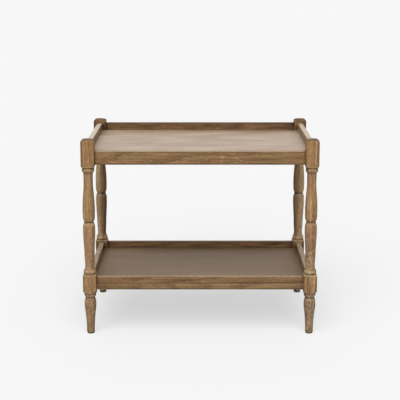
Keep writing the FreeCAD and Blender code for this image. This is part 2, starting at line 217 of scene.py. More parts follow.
def oakMaterial(name, grain, heart, seed, band=None, rim=None, **changes):
    # grain names the axes along, across and through the piece, and heart is where the heart of the tree
    # lies across and through it. band adds glaze at a joint, painted shade at an edge, a painted light line
    # and colour by height, and rim darkens the wood towards the left, the right and, where it says so, the
    # back.
    look = {**oakFinish, **changes}
    material, pen = newMaterial(name)
    parts = pen.node("ShaderNodeSeparateXYZ", {}, {0: pen.node("ShaderNodeTexCoord", out="Object")})
    along, across, through = [parts.other("XYZ".index(axis)) for axis in grain]
    along = along + seed * look["seedShift"]
    across = across - heart[0]
    through = through - heart[1]

    def fibres(noise, slant=0.0):
        # noise about 0, drawn out along the grain or at a slant to it
        alongScale, acrossScale, detail = look[noise]
        point = pen.node("ShaderNodeCombineXYZ", {}, {0: along * alongScale,
                                                      1: (across + along * slant) * acrossScale,
                                                      2: (through + along * slant) * acrossScale})
        sockets = {"Vector": point, "Scale": 1.0, "Detail": detail, "Roughness": look["noiseRoughness"]}
        return pen.node("ShaderNodeTexNoise", {}, sockets) - 0.5

    def carried(label):
        # a number that the mesh carries at its points, 0 where it has none of that name
        return pen.node("ShaderNodeAttribute", {"attribute_name": label}, out="Fac")

    sideways = across + along * look["lean"]
    distance = (sideways * sideways + through * through) ** 0.5 + fibres("wander") * look["wanderDepth"]
    phase = pen.maths("FRACT", distance / look["ringWidth"])
    lateWood = phase.step(*look["lateWoodRise"]) * (1 - phase.step(*look["lateWoodFall"]))
    streaks = fibres("streaks")
    blotches = fibres("blotches")
    bands = fibres("bands")
    specks = fibres("specks")
    mottle = fibres("mottle")
    flecks = fibres("flecks", look["fleckSlant"]).step(*look["fleckStep"])
    flecks = flecks * fibres("fleckFields").step(*look["fieldStep"])
    pores = fibres("pores").step(*look["poreStep"])
    checks = fibres("checks").step(*look["checkStep"]) * (look["checkDepth"] + carried("checked"))
    weathered = carried("weathered")

    tone = look["tone"] + streaks * look["streakDepth"] + blotches * look["blotchDepth"]
    tone = tone + bands * look["bandDepth"] + flecks * look["fleckDepth"]
    tone = tone + specks * (look["speckDepth"] + weathered)
    tone = tone - (lateWood - look["ringMean"]) * look["ringDepth"]
    tone = tone - pores * look["poreDepth"] - checks * look["checkTone"]
    colour = pen.node("ShaderNodeValToRGB", {"stops": look["stops"]}, {"Fac": tone})
    red = mottle.step(*look["mottleStep"]) * look["mottleDepth"]
    colour = red.tint(colour, look["redColour"])
    olive = (mottle * -1.0).step(*look["mottleStep"]) * look["mottleDepth"]
    colour = olive.tint(colour, look["oliveColour"])
    colour = (weathered * look["greyDepth"]).tint(colour, look["greyColour"])

    endGrain = carried("endGrain")
    # wear with painted highlights and sheen, and glaze with painted shade, as carried at the mesh's points
    wearAndLight = carried("wearAndLight") + weathered * specks.step(*look["speckStep"]) * look["greyWear"]
    glazeAndShade = carried("glazeAndShade") + weathered * (specks * -1.0).step(*look["speckStep"]) * look["greyGlaze"]
    if rim:
        beside = pen.maths("ABSOLUTE", parts.other(0)).step(*rim["side"])
        glazeAndShade = glazeAndShade + beside * rim["sideDepth"]
        if "back" in rim:
            behind = parts.other(1).step(*rim["back"])
            toRight = parts.other(0).step(*rim["leftToRight"])
            backDepth = rim["backLeft"] + toRight * (rim["backRight"] - rim["backLeft"])
            glazeAndShade = glazeAndShade + behind * behind * backDepth
    if band:
        height = parts.other(2)

        def within(part):
            # rises over the part's low range, falls over its high range
            inBand = height.step(*band[part + "Low"]) * (1 - height.step(*band[part + "High"]))
            return inBand * band[part + "Depth"]

        # the edge band is painted shade, and the light band is a painted light line
        glazeAndShade = glazeAndShade + within("joint") + within("edge")
        wearAndLight = wearAndLight + within("light")
        colour = (height.step(*band["topLow"]) * band["topDepth"]).tint(colour, band["topColour"])

    endPatch = look["endEven"] + mottle * look["endMottle"] + specks * look["endSpecks"]
    colour = (endGrain * endPatch).tint(colour, look["endColour"])
    # painted highlights and sheen are mixed in with the wear colour, painted shade with the glaze colour
    wearLightPatch = look["wearEven"] + streaks * look["wearStreaks"] + specks * look["wearSpecks"]
    colour = (wearAndLight * wearLightPatch * look["wearLightDepth"]).tint(colour, look["wearLightColour"])
    glazeShadePatch = look["glazeEven"] + blotches * look["glazeBlotches"] + specks * look["glazeSpecks"]
    colour = (glazeAndShade * glazeShadePatch * look["glazeShadeDepth"]).tint(colour, look["glazeShadeColour"])
    roughness = look["roughness"] + streaks * look["roughStreaks"] + pores * look["roughPores"]
    roughness = roughness + endGrain * look["roughEnd"] - wearAndLight * look["wearPolish"]
    relief = streaks * look["bumpStreaks"] + lateWood * look["bumpRings"]
    relief = relief - pores * look["bumpPores"] - checks
    bump = pen.node("ShaderNodeBump", {}, {"Strength": look["bump"], "Distance": look["bumpHeight"],
                                           "Height": relief})
    shadeWith(pen, {"Base Color": colour, "Roughness": roughness, "Normal": bump,
                    "Specular IOR Level": look["specular"]})
    return material


def finishMesh(name, points, quads, fans, floats, replaced, material):
    # One mesh from its points, four-cornered faces and the fans that close its ends, with named numbers
    # at its points.
    mesh = bpy.data.meshes.new(name)
    mesh.from_pydata(points.tolist(), [], quads.tolist() + fans.tolist())
    mesh.polygons.foreach_set("use_smooth", np.arange(len(quads) + len(fans)) < len(quads))
    for label, values in floats.items():
        carried = mesh.attributes.new(label, "FLOAT", "POINT")
        carried.data.foreach_set("value", values.astype(np.float32).ravel())
    mesh.materials.append(material)
    piece = bpy.data.objects.new(name, mesh)
    bpy.context.collection.objects.link(piece)
    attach(piece, "root")
    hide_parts(replaced)


def tubePiece(name, rings, floats, replaced, material):
    # rings[i, j] is point j of ring i. Neighbours along and round make a face, the last point of a ring
    # meets the first, and each end closes in a fan on the middle of its ring.
    rows, columns, _ = rings.shape
    points = np.concatenate([rings.reshape(-1, 3), rings[:1].mean(axis=1), rings[-1:].mean(axis=1)])
    index = np.arange(rows * columns).reshape(rows, columns)
    after = np.roll(index, -1, axis=1)
    quads = np.stack([index[:-1], after[:-1], after[1:], index[1:]], axis=-1).reshape(-1, 4)
    first = np.stack([after[0], index[0], np.full(columns, rows * columns)], axis=-1)
    last = np.stack([index[-1], after[-1], np.full(columns, rows * columns + 1)], axis=-1)
    ended = {label: np.concatenate([grid.ravel(), grid[0, :1], grid[-1, :1]])
             for label, grid in floats.items()}
    finishMesh(name, points, quads, np.concatenate([first, last]), ended, replaced, material)


def easedOutline(halfA, halfB, spec):
    # Four quarter circles joined by straight sides, whose points crowd towards the corners. Also gives
    # each point's share of corner: 1 at the middle of a quarter circle and 0 on the sides.
    ease = spec["ease"]
    turn = np.linspace(0, math.pi / 2, spec["cornerPoints"])
    crowd = (1 - np.cos(np.linspace(0, math.pi, spec["sidePoints"] + 2)[1:-1])) / 2
    outline = []
    corner = []
    signs = ((1, 1), (-1, 1), (-1, -1), (1, -1))
    arcs = [np.stack([signA * (halfA - ease) + ease * np.cos(turn + quarter * math.pi / 2),
                      signB * (halfB - ease) + ease * np.sin(turn + quarter * math.pi / 2)], axis=-1)
            for quarter, (signA, signB) in enumerate(signs)]
    for quarter, arc in enumerate(arcs):
        start = arc[-1]
        end = arcs[(quarter + 1) % len(arcs)][0]
        outline += [arc, start + (end - start) * crowd[:, None]]
        corner += [np.sin(turn * 2), np.zeros(spec["sidePoints"])]
    return np.concatenate(outline), np.concatenate(corner)


def onFace(offset, half):
    # 1 on the face at that half width, 0 from half way to it inwards
    return np.clip(2 * offset / half - 1, 0, 1)


# Legs

turnedLeg = {
    "ease": 4.0 * mm,
    "crownRound": 8.5 * mm,
    "crownRadius": 45.0 * mm,
    # how far the blocks reach past the shelf, its lip and the rail
    "footMargin": 1.5 * mm,
    "lipMargin": 5.6 * mm,
    "railMargin": 4.5 * mm,
    # collars
    "footShoulder": 14.0 * mm,
    "lowShoulder": 3.4 * mm,
    "highShoulder": 6.2 * mm,
    "grooveHeight": 1.3 * mm,
    "grooveRadius": 19.4 * mm,
    "quirkStep": 1.0 * mm,
    "footBead": 9.5 * mm,
    "lowBead": 13.8 * mm,
    "highBead": 15.6 * mm,
    "footBeadRadius": 20.2 * mm,
    "beadRadius": 21.4 * mm,
    "beadTopShare": 0.34,
    # shaft, shin and toe; the shares run from waist to belly, and from toe to bulb
    "splitShare": 0.495,
    "bellyRadius": 20.7 * mm,
    "waistRadius": 15.5 * mm,
    "footBulbRadius": 20.2 * mm,
    "toeRadius": 13.2 * mm,
    "toeRound": 1.5 * mm,
    "highShares": [(0.0, 0.06), (0.05, 0.69), (0.17, 0.98), (0.42, 0.87), (0.60, 0.41), (0.72, 0.10),
                   (0.87, 0.07), (1.0, 0.16)],
    "lowShares": [(0.0, 0.06), (0.05, 0.70), (0.17, 0.99), (0.40, 0.76), (0.59, 0.43), (0.74, 0.31),
                  (0.85, 0.08), (0.92, 0.03), (1.0, 0.50)],
    "footShares": [(0.0, 0.0), (0.25, 0.14), (0.45, 0.37), (0.65, 0.80), (0.77, 1.0), (0.91, 0.79),
                   (0.96, 0.52), (1.0, 0.38)],
    # sanding
    "sampleStep": 0.2 * mm,
    "sanding": 0.3 * mm,
    "sandReach": 10,
    "arrisSoftness": 0.35 * mm,
    "crownSoftness": 0.6 * mm,
    # points and rings
    "beadPoints": 40,
    "shaftPoints": 200,
    "shinPoints": 160,
    "toePoints": 9,
    "cornerPoints": 11,
    "sidePoints": 26,
    "ringCount": 300,
    "bendWindow": 9,
    "evenCrowding": 0.02,
    "shoulderCrowding": 0.06,
    "shoulderInside": 2.0 * mm,
    "shoulderOutside": 0.5 * mm,
    "overrun": 1.0 * mm,
    "wallRings": 12,
    "roundRings": 15,
    "roundTurn": 1.2,
    "domeRings": 12,
    "domeTip": 0.02,
}


def arcThrough(first, middle, last, count):
    # Points on the circle through three points, at even turns from the first to the last.
    p, q, r = [complex(*point) for point in (first, middle, last)]
    w = (r - p) / (q - p)
    centre = p + (q - p) * (w - abs(w) ** 2) / (w - w.conjugate())
    turns = np.unwrap(np.angle([p - centre, q - centre, r - centre]))
    sweep = centre + abs(p - centre) * np.exp(1j * np.linspace(turns[0], turns[2], count))
    return np.stack([sweep.real, sweep.imag], axis=-1)


def smoothThrough(shares, count):
    # A cubic curve through the shares, whose slope at each is that of the parabola through it and its
    # neighbours.
    at, value = np.array(shares).T
    slope = np.gradient(value, at, edge_order=2)
    spot = np.linspace(0, 1, count)
    low = np.clip(np.searchsorted(at, spot, side="right") - 1, 0, len(at) - 2)
    width = at[low + 1] - at[low]
    t = (spot - at[low]) / width
    rise = value[low + 1] - value[low]
    curve = value[low] + rise * t * t * (3 - 2 * t)
    curve += width * t * (1 - t) * (slope[low] * (1 - t) - slope[low + 1] * t)
    return np.stack([curve, spot], axis=-1)


def softMin(first, second, softness):
    # The lesser of two surfaces, with the edge where they cross rounded over.
    return -softness * np.logaddexp(-first / softness, -second / softness)


def turnedProfile(spec, levels, uncut):
    # Radius and height from the toe to the upper block: toe round, shin and collar, then the block, then
    # the shaft's two halves with a collar at either end. The corners between them are then sanded over:
    # the outline is sampled at even steps and each sample becomes a bell-shaped mean of its neighbours.
    def collar(neck, beadOut, beadHeight, shoulderHeight):
        # quirk, bead, groove and sloping shoulder out from a neck of that radius at height 0
        groove = spec["grooveRadius"]
        top = beadHeight + spec["grooveHeight"]
        bead = arcThrough((neck + spec["quirkStep"], 0), (beadOut, beadHeight * (1 - spec["beadTopShare"])),
                          (groove, beadHeight), spec["beadPoints"])
        return np.concatenate([bead, [(groove, top), (uncut, top + shoulderHeight)]])

    def halfShaft(neckLevel, shares, beadHeight, shoulderHeight):
        run = neckLevel - levels["middle"]
        swell = spec["bellyRadius"] - spec["waistRadius"]
        shaft = smoothThrough(shares, spec["shaftPoints"]) * (swell, run)
        shaft = shaft + (spec["waistRadius"], levels["middle"])
        ended = collar(shaft[-1, 0], spec["beadRadius"], beadHeight, shoulderHeight)
        return np.concatenate([shaft, ended * (1, math.copysign(1, run)) + (0, neckLevel)])

    toeTop = levels["floor"] + spec["toeRound"]
    turn = np.linspace(-math.pi / 2, 0, spec["toePoints"])
    toe = np.stack([spec["toeRadius"] - spec["toeRound"] * (1 - np.cos(turn)),
                    toeTop + spec["toeRound"] * np.sin(turn)], axis=-1)
    swell = spec["footBulbRadius"] - spec["toeRadius"]
    shin = smoothThrough(spec["footShares"], spec["shinPoints"]) * (swell, levels["footNeck"] - toeTop)
    shin = shin + (spec["toeRadius"], toeTop)
    ankle = collar(shin[-1, 0], spec["footBeadRadius"], spec["footBead"], spec["footShoulder"])
    ankle = ankle + (0, levels["footNeck"])
    lower = halfShaft(levels["lowNeck"], spec["lowShares"], spec["lowBead"], spec["lowShoulder"])[::-1]
    upper = halfShaft(levels["highNeck"], spec["highShares"], spec["highBead"], spec["highShoulder"])
    path = np.concatenate([toe, shin[1:], ankle, lower, upper[1:]])

    run = np.concatenate([[0], np.cumsum(np.hypot(*np.diff(path, axis=0).T))])
    even = np.arange(0, run[-1], spec["sampleStep"])
    sampled = np.stack([np.interp(even, run, path[:, 0]), np.interp(even, run, path[:, 1])], axis=-1)
    reach = spec["sandReach"]
    spread = np.arange(-reach, reach + 1) * spec["sampleStep"] / spec["sanding"]
    bell = np.exp(-spread ** 2 / 2)
    padded = np.pad(sampled, ((reach, reach), (0, 0)), mode="reflect", reflect_type="odd")
    sanded = np.stack([np.convolve(line, bell / bell.sum(), mode="valid") for line in padded.T], axis=-1)

    # rings stand close where the outline bends or a shoulder cuts the square, and far apart elsewhere
    slope = np.unwrap(np.arctan2(*np.gradient(sanded, axis=0).T))
    window = spec["bendWindow"]
    bend = np.convolve(np.abs(np.gradient(slope)), np.full(window, 1 / window), mode="same")
    onShoulder = sanded[:, 0] > spec["grooveRadius"] + spec["shoulderInside"]
    onShoulder &= sanded[:, 0] < uncut - spec["shoulderOutside"]
    crowding = np.cumsum(spec["evenCrowding"] + bend + spec["shoulderCrowding"] * onShoulder)
    wanted = np.linspace(crowding[0], crowding[-1], spec["ringCount"])
    picked = np.interp(wanted, crowding, np.arange(len(even)))
    return sanded[np.unique(np.round(picked).astype(int))]


def crownHeight(x, y, spec, half, top):
    # Two crossed arches, each a shallow arc that turns down at its ends by a smaller round; the lower one
    # counts.
    roundAt = half - spec["crownRound"]
    inner = spec["crownRadius"] - spec["crownRound"]
    lean = math.asin(roundAt / inner)
    centre = top - spec["crownRadius"]
    meet = spec["crownRadius"] * math.sin(lean)

    def arch(u):
        u = np.minimum(np.abs(u), half)
        shallow = centre + np.sqrt(spec["crownRadius"] ** 2 - np.minimum(u, meet) ** 2)
        turned = np.maximum(spec["crownRound"] ** 2 - np.maximum(u - roundAt, 0) ** 2, 0)
        return np.where(u < meet, shallow, centre + inner * math.cos(lean) + np.sqrt(turned))

    return softMin(arch(x), arch(y), spec["crownSoftness"])


def legShape(name):
    # For each height the lesser of the eased square and the turned radius, in each direction round the
    # leg's axis; above that the square's outline shrinks to a point over the domed crown.
    spec = turnedLeg
    low, high = [np.array(corner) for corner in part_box(name)]
    middle = (low + high) / 2
    half = (high[0] - low[0]) / 2
    uncut = half * math.sqrt(2) + spec["overrun"]
    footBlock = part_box("shelf_board")[0][2] - spec["footMargin"]
    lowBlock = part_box("shelf_front_lip")[1][2] + spec["lipMargin"]
    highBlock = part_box("top_front_rail")[0][2] - spec["railMargin"]
    lowNeck = lowBlock + spec["lowShoulder"] + spec["grooveHeight"] + spec["lowBead"]
    highNeck = highBlock - spec["highShoulder"] - spec["grooveHeight"] - spec["highBead"]
    levels = {
        "floor": low[2],
        "footNeck": footBlock - spec["footShoulder"] - spec["grooveHeight"] - spec["footBead"],
        "lowNeck": lowNeck,
        "highNeck": highNeck,
        "middle": lowNeck + (highNeck - lowNeck) * spec["splitShare"],
    }
    outline, _ = easedOutline(half, half, spec)
    square = np.hypot(outline[:, 0], outline[:, 1])
    profile = turnedProfile(spec, levels, uncut)
    radius = softMin(square, profile[:, :1], spec["arrisSoftness"])
    facing = outline / square[:, None]
    height = np.broadcast_to(profile[:, 1:], radius.shape)
    turned = np.concatenate([facing * radius[..., None], height[..., None]], axis=-1)

    wallTop = crownHeight(outline[:, 0], outline[:, 1], spec, half, high[2])
    wallLow = profile[-1, 1]
    rise = np.linspace(0, 1, spec["wallRings"] + 1)[1:, None]
    wall = np.broadcast_to(outline, (spec["wallRings"],) + outline.shape)
    wall = np.concatenate([wall, (wallLow + rise * (wallTop - wallLow))[..., None]], axis=-1)

    turn = np.linspace(0, spec["roundTurn"], spec["roundRings"] + 1)[1:]
    overRound = (half - spec["crownRound"] * (1 - np.cos(turn))) / half
    overDome = np.linspace(overRound[-1], spec["domeTip"], spec["domeRings"] + 1)[1:]
    crown = outline * np.concatenate([overRound, overDome])[:, None, None]
    crownTop = crownHeight(crown[..., :1], crown[..., 1:], spec, half, high[2])
    crown = np.concatenate([crown, crownTop], axis=-1)
    rings = np.concatenate([turned, wall, crown]) + (middle[0], middle[1], 0)
    return {"rings": rings, "profile": profile, "outline": outline, "square": square, "half": half,
            "side": np.sign(middle[0]), "levels": levels}


trayCorner = {
    "left": 2.0,
    "right": 1.5,
    "inset": 2 * mm,
    "depth": 10 * mm,
    "floorFade": 1 * mm,
    "above": 14 * mm,
    "fade": 30 * mm,
}


def innerShade(points):
    # Painted shade in the back corners of the two trays: on the faces that look into a tray, from its floor
    # up, fading out just above its edge.
    spec = trayCorner
    shade = np.zeros(points.shape[:2])
    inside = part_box("top_panel")[1][1] - spec["inset"]
    inward = np.clip((inside - np.abs(points[..., 1])) / spec["depth"], 0, 1)
    for floorOf, edgeOf in (("top_panel", "top_back_rail"), ("shelf_board", "shelf_back_lip")):
        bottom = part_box(floorOf)[1][2]
        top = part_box(edgeOf)[1][2] + spec["above"]
        above = np.clip((points[..., 2] - bottom) / spec["floorFade"], 0, 1)
        below = np.clip((top - points[..., 2]) / spec["fade"], 0, 1)
        shade += above * below * (points[..., 1] > 0)
    return shade * inward * np.where(points[..., 0] < 0, spec["left"], spec["right"])


legFinish = {
    # turning: wear and painted highlights on what stands out, glaze and painted shade in what lies deep
    "meanStep": 0.5 * mm,
    "meanReach": 9,
    "blockStand": 1.0 * mm,
    "wearRise": 1.1 * mm,
    "grooveDepth": 1.2 * mm,
    "grooveShade": 1.0,
    "limed": 0.28,
    # blocks
    "blockFade": 2.0 * mm,
    "edgeWidth": 1.0 * mm,
    "edgeWear": 0.12,
    # lightens the lower blocks
    "lowBlockPale": 0.2,
    "blockChecks": 0.2,
    "arrisWidth": 7 * mm,
    "arrisShade": 1.2,
    "shoulderFade": 1.0 * mm,
    "shoulderShade": 0.7,
    # shaft
    "waistWidth": 2.0 * mm,
    "waistDrop": 5.5 * mm,
    # a painted glint under the waist groove
    "waistGlint": 0.5,
    "neckFade": 10 * mm,
    # painted light on the outer side of the shafts, painted shade on their inner side and lower half
    "sideLight": 0.0,
    "lightFull": 0.6,
    "sideShade": 0.0,
    "shadeFrom": 0.2,
    "lowShade": 0.0,
    "weather": 0.6,
    "weatherRun": 200 * mm,
    # foot
    "toeShade": 0.9,
    "toeHeight": 9 * mm,
    "footShade": 0.3,
    # crown and post
    "crownShade": 1.2,
    "crownEnd": (-0.3, 4.0),
    "postShade": 0.0,
    "postDrop": 2 * mm,
    "postFade": 4 * mm,
    "firstSeed": 1,
}
legWood = {
    "lean": 0.03,
    "stops": [(0.0, srgb(44, 29, 16)), (0.25, srgb(94, 67, 40)), (0.50, srgb(136, 101, 62)),
              (0.75, srgb(171, 133, 88)), (1.0, srgb(208, 174, 128))],
    "glazeShadeColour": srgb(58, 36, 14),
}
legLooks = {
    "front_left": {
        "heart": (50 * mm, 30 * mm), "blockChecks": 0.1, "weather": 0.4, "arrisWidth": 10 * mm,
        "waistShade": 0.9,
        "wood": {"tone": 0.67, "bandDepth": 0.35, "checkDepth": 0.08, "speckDepth": 0.45,
                 "mottleDepth": 0.45},
    },
    "front_right": {
        "heart": (-40 * mm, 50 * mm), "blockChecks": 0.6, "weather": 1.0, "waistShade": 0.6,
        "wood": {"tone": 0.66, "bandDepth": 0.9, "checkDepth": 0.2, "speckDepth": 0.60,
                 "mottleDepth": 0.55},
    },
    "back_left": {
        "heart": (60 * mm, -40 * mm), "postShade": 0.6, "waistShade": 1.2, "sideLight": 0.7,
        "sideShade": 0.9, "lowShade": 0.3,
        "wood": {"tone": 0.62, "bandDepth": 0.7, "checkDepth": 0.12, "speckDepth": 0.45,
                 "mottleDepth": 0.50, "wearLightDepth": 0.65},
    },
    "back_right": {
        "heart": (-50 * mm, 40 * mm), "postShade": 0.95, "waistShade": 1.6, "sideLight": 0.75,
        "sideShade": 0.9,
        "wood": {"tone": 0.71, "bandDepth": 0.7, "checkDepth": 0.12, "speckDepth": 0.45,
                 "mottleDepth": 0.50, "wearLightDepth": 0.8},
    },
}


def legMarks(leg, look):
    # Wear, glaze, end grain, checks and weathering at each point of the leg's rings.
    rings = leg["rings"]
    outline = leg["outline"]
    half = leg["half"]
    levels = leg["levels"]
    profile = leg["profile"]
    radius = profile[:, :1]
    height = profile[:, 1:]
    outOfSquare = radius - leg["square"]
    onBlock = np.clip(outOfSquare / look["blockFade"], 0, 1)
    lowDown = height < levels["lowNeck"]

    # wear with painted highlights, and glaze with painted shade, follow how far the turning stands out
    # from, or lies in, its own running mean
    even = np.arange(profile[0, 1], profile[-1, 1], look["meanStep"])
    plain = np.interp(even, profile[:, 1], np.minimum(profile[:, 0], half + look["blockStand"]))
    window = 2 * look["meanReach"] + 1
    padded = np.pad(plain, look["meanReach"], mode="edge")
    stands = plain - np.convolve(padded, np.full(window, 1 / window), mode="valid")
    stands = np.interp(profile[:, 1], even, stands)[:, None]
    wearAndLight = np.clip(stands / look["wearRise"], 0, 1) + look["limed"] * (1 - onBlock)
    wearAndLight = wearAndLight + look["edgeWear"] * np.exp(-(outOfSquare / look["edgeWidth"]) ** 2)
    wearAndLight = wearAndLight + look["lowBlockPale"] * onBlock * lowDown
    glazeAndShade = np.clip(-stands / look["grooveDepth"], 0, look["grooveShade"])

    # painted shade beside the blocks' outer arris, on their front and back, and under their shoulders
    outward = np.clip(1 - (half - outline[:, 0] * leg["side"]) / look["arrisWidth"], 0, 1)
    ease = turnedLeg["ease"]
    arris = look["arrisShade"] * outward * np.clip((np.abs(outline[:, 1]) - half + ease) / ease, 0, 1)
    glazeAndShade = glazeAndShade + arris * onBlock
    cut = np.clip(-outOfSquare / look["shoulderFade"], 0, 1)
    cut = cut * np.clip((radius - turnedLeg["beadRadius"]) / look["shoulderFade"], 0, 1)
    undercut = np.gradient(profile[:, 0], profile[:, 1])[:, None] > 0
    glazeAndShade = glazeAndShade + look["shoulderShade"] * cut * undercut

    # glaze and painted shade in the groove half way up the shaft and a painted glint below it; painted
    # light on the outer side, painted shade on the inner side and, where lowShade says so, on the lower
    # half
    upFromWaist = height - levels["middle"]
    glazeAndShade = glazeAndShade + look["waistShade"] * np.exp(-(upFromWaist / look["waistWidth"]) ** 2)
    belowWaist = (upFromWaist + look["waistDrop"]) / look["waistWidth"]
    wearAndLight = wearAndLight + look["waistGlint"] * np.exp(-belowWaist ** 2)
    onShaft = np.clip((height - levels["lowNeck"]) / look["neckFade"], 0, 1)
    onShaft = onShaft * np.clip((levels["highNeck"] - height) / look["neckFade"], 0, 1)
    outside = outline[:, 0] / leg["square"] * leg["side"]
    wearAndLight = wearAndLight + look["sideLight"] * onShaft * np.clip(outside / look["lightFull"], 0, 1)
    darkSide = look["sideShade"] * np.clip(look["shadeFrom"] - outside, 0, 1)
    glazeAndShade = glazeAndShade + onShaft * (darkSide + look["lowShade"] * (upFromWaist < 0))

    # painted shade at the toes, and darker feet
    toeDark = look["toeShade"] * np.clip(1 - (height - levels["floor"]) / look["toeHeight"], 0, 1)
    glazeAndShade = np.maximum(glazeAndShade, toeDark) + look["footShade"] * (height < levels["footNeck"])

    # on above the turning: block wall and crown, painted shade in the trays' corners and on the posts over
    # the back rail
    turnedRings = len(profile)
    crownRings = turnedLeg["roundRings"] + turnedLeg["domeRings"]
    wearAndLight = np.concatenate([wearAndLight, np.zeros((len(rings) - turnedRings, len(outline)))])
    fade = np.linspace(look["crownShade"], 0, crownRings)
    fade = np.concatenate([np.ones(turnedLeg["wallRings"]), fade])[:, None]
    glazeAndShade = np.concatenate([glazeAndShade, arris * fade]) + innerShade(rings)
    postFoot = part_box("top_back_rail")[1][2] - look["postDrop"]
    onPost = np.clip((rings[..., 2] - postFoot) / look["postFade"], 0, 1)
    glazeAndShade = glazeAndShade + look["postShade"] * onPost * onFace(-outline[:, 1], half)
    endGrain = np.zeros_like(wearAndLight)
    endGrain[-crownRings:] = np.clip(np.linspace(*look["crownEnd"], crownRings), 0, 1)[:, None]
    checked = np.zeros_like(wearAndLight)
    checked[:turnedRings] = look["blockChecks"] * onBlock * lowDown
    weathered = np.zeros_like(wearAndLight)
    below = np.clip((levels["middle"] - height) / look["weatherRun"], 0, 1)
    weathered[:turnedRings] = look["weather"] * below * (1 - onBlock)
    return {"wearAndLight": np.clip(wearAndLight, 0, 1), "glazeAndShade": glazeAndShade, "endGrain": endGrain, "checked": checked,
            "weathered": weathered}


for seed, (corner, changes) in enumerate(legLooks.items(), legFinish["firstSeed"]):
    node = "leg_" + corner
    look = {**legFinish, **changes}
    boxLow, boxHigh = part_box(node)
    heart = [(boxLow[side] + boxHigh[side]) / 2 + look["heart"][side] for side in (0, 1)]
    legOak = oakMaterial("legOak_" + corner, "ZXY", heart, seed, **legWood, **look["wood"])
    leg = legShape(node)
    tubePiece(node + "_turned", leg["rings"], legMarks(leg, look), node, legOak)
print("legs: turned")

# Rails and lips

squareBar = {
    "ease": 1.5 * mm,
    "intoLeg": 1.5 * mm,
    "cornerPoints": 7,
    "sidePoints": 20,
    "alongSteps": 60,
}
barFinish = {
    # the top's wear with a painted sheen, and painted shade on the top, the lower edge and the ends beside
    # the legs
    "topWearAndSheen": 0.0,
    "arrisWear": 0.6,
    "topShade": 0.0,
    "lineGlaze": 0.45,
    "lineDrop": 2.6 * mm,
    "lineWidth": 1.2 * mm,
    "footEdgeShade": 0.8,
    "footShare": 0.8,
    "footDrop": 1.8 * mm,
    "footWidth": 2.4 * mm,
    "mostDarkening": 1.3,
    "endShade": 0.3,
    "endRun": 45 * mm,
    "weather": 0.0,
    "heart": (30 * mm, 120 * mm),
    "firstSeed": 11,
}
barWood = {"lean": 0.02}
sideLipWood = {"tone": 0.51, "blotchDepth": 0.30, "wearLightColour": srgb(206, 188, 164)}
barLooks = {
    "top_front_rail": {
        "topWearAndSheen": 0.9, "lineGlaze": 1.0, "footEdgeShade": 1.3, "endShade": 0.2,
        "wood": {"tone": 0.535, "fleckDepth": 0.25, "blotchDepth": 0.15},
    },
    "top_back_rail": {
        "topShade": 0.9, "lineGlaze": 0.8, "footEdgeShade": 1.0, "endShade": 1.0,
        "wood": {"tone": 0.31, "fleckDepth": 0.05, "blotchDepth": 0.10, "streakDepth": 0.5,
                 "ringDepth": 0.08},
    },
    "top_left_rail": {
        "topWearAndSheen": 2.8, "weather": 0.4,
        "wood": {"tone": 0.47, "blotchDepth": 0.30, "wearLightColour": srgb(216, 199, 177)},
    },
    "top_right_rail": {
        "topWearAndSheen": 2.4, "weather": 0.4,
        "wood": {"tone": 0.67, "blotchDepth": 0.30, "wearLightColour": srgb(208, 188, 164)},
    },
    "shelf_front_lip": {
        "topWearAndSheen": 0.8, "lineGlaze": 0.35, "footEdgeShade": 0.35, "endShade": 0.35,
        "wood": {"tone": 0.48, "fleckDepth": 0.18, "blotchDepth": 0.20,
                 "wearLightColour": srgb(206, 184, 158)},
    },
    "shelf_back_lip": {
        "topShade": 0.3, "lineGlaze": 0.8, "footEdgeShade": 1.0, "endShade": 1.0,
        "wood": {"tone": 0.37, "fleckDepth": 0.05, "blotchDepth": 0.15},
    },
    "shelf_left_lip": {"topWearAndSheen": 1.2, "weather": 0.2, "wood": sideLipWood},
    "shelf_right_lip": {"topWearAndSheen": 1.2, "weather": 0.2, "wood": sideLipWood},
}


